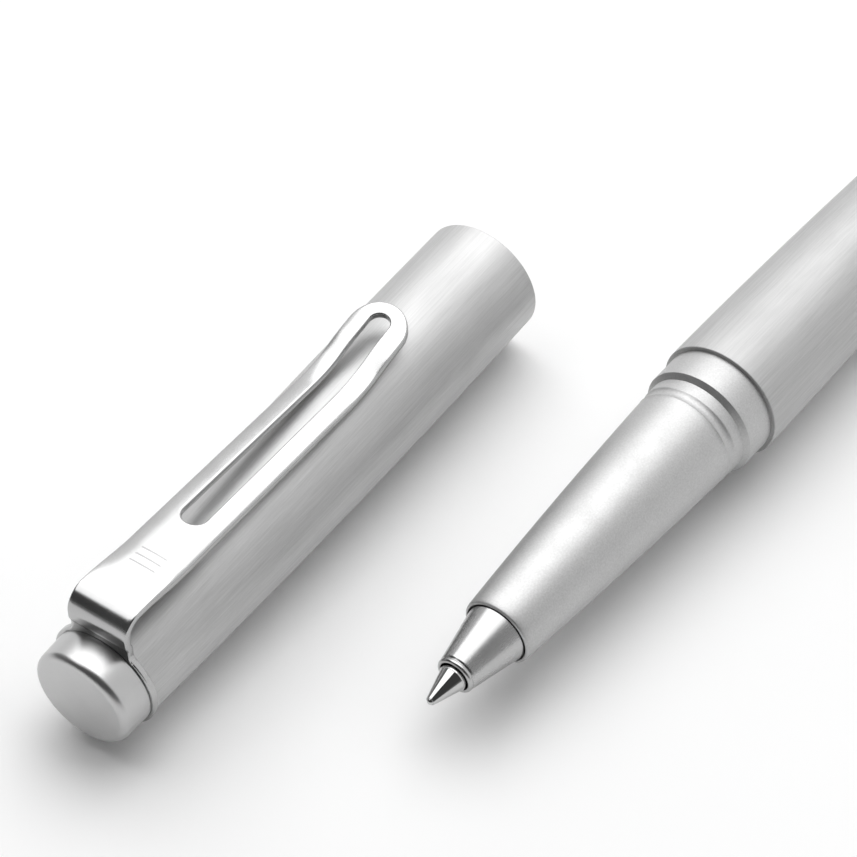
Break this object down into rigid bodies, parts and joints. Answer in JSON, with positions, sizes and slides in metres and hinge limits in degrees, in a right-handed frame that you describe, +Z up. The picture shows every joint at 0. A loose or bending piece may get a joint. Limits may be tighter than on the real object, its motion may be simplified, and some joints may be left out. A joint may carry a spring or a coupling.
{
  "type": "rollerball pen",
  "caption": "Capped rollerball pen with slotted spring clip, screwed barrel, sprung refill and pull-off cap lying beside it.",
  "frame": {"origin": "middle of the footprint of the pen and its parked cap, on the table", "axes": "+X along the pen from the nib to the tail, +Y from the pen to the parked cap, +Z up off the table"},
  "size_m": [0.14, 0.0392, 0.0153],
  "materials": {
    "brushed_aluminium": "fine straight brushing along the tube, clear anodised",
    "blasted_aluminium": "bead blasted, clear anodised, matte",
    "satin_steel": "satin to bright polished, soft reflections",
    "polished_steel": "bright polished",
    "nib_steel": "mirror bright, turned",
    "spring_steel": "drawn wire and turned steel",
    "brass": "turned brass",
    "cap_plastic": "moulded plastic, matte",
    "refill_plastic": "clear to milky extruded tube",
    "holder_plastic": "moulded plastic",
    "black_rubber": "moulded rubber",
    "ink": "ink, opaque",
    "follower_grease": "clear grease"
  },
  "bodies": {
    "section": {"grip_section": "blasted_aluminium", "nose_cone": "polished_steel", "section_o_ring": "black_rubber"},
    "refill": {"refill_tube": "refill_plastic", "refill_tip_holder": "holder_plastic", "nib": "nib_steel", "refill_ink": "ink", "ink_follower": "follower_grease", "refill_end_plug": "holder_plastic"},
    "ball": {"writing_ball": "nib_steel"},
    "tail_spring": {"refill_spring": "spring_steel", "spring_seat": "spring_steel"},
    "barrel": {"barrel_tube": "brushed_aluminium", "barrel_thread_insert": "brass", "tail_ring": "polished_steel", "tail_button": "satin_steel"},
    "cap": {"cap_tube": "brushed_aluminium", "cap_clutch_ring": "cap_plastic", "inner_cap": "cap_plastic", "nib_seal_pad": "black_rubber", "clip_collar": "satin_steel", "finial": "satin_steel", "finial_stud": "spring_steel", "finial_nut": "brass"},
    "clip": {"clip_arm": "satin_steel"}
  },
  "joints": [
    {"name": "refill_float", "type": "slide", "parent": "section", "child": "refill", "axis": [1, 0, 0], "range_m": [0, 0.0015], "stiffness_N_per_m": 150, "springref_m": -0.004, "deforming": ["refill_spring"]},
    {"name": "ball_roll", "type": "hinge", "parent": "refill", "child": "ball", "pos_m": [-0.05131, -0.01344, 0.00615], "axis": [0, 1, 0], "continuous": true},
    {"name": "barrel_advance", "type": "slide", "parent": "section", "child": "tail_spring", "axis": [1, 0, 0], "range_m": [0, 0.006]},
    {"name": "barrel_turn", "type": "hinge", "parent": "tail_spring", "child": "barrel", "pos_m": [-0.00796, -0.01344, 0.00615], "axis": [1, 0, 0], "range_deg": [0, 2880]},
    {"name": "cap_pull", "type": "slide", "parent": "section", "child": "cap", "axis": [0.9984, 0.0567, 0], "range_m": [-0.045, 0.0007]},
    {"name": "clip_flex", "type": "hinge", "parent": "cap", "child": "clip", "pos_m": [-0.06634, 0.01021, 0.01247], "axis": [0.0567, -0.9984, 0], "range_deg": [0, 4], "stiffness_Nm_per_rad": 5}
  ],
  "couplings": [
    {"joint": "barrel_advance", "follows": "barrel_turn", "m_per_rad": 0.00011937}
  ]
}
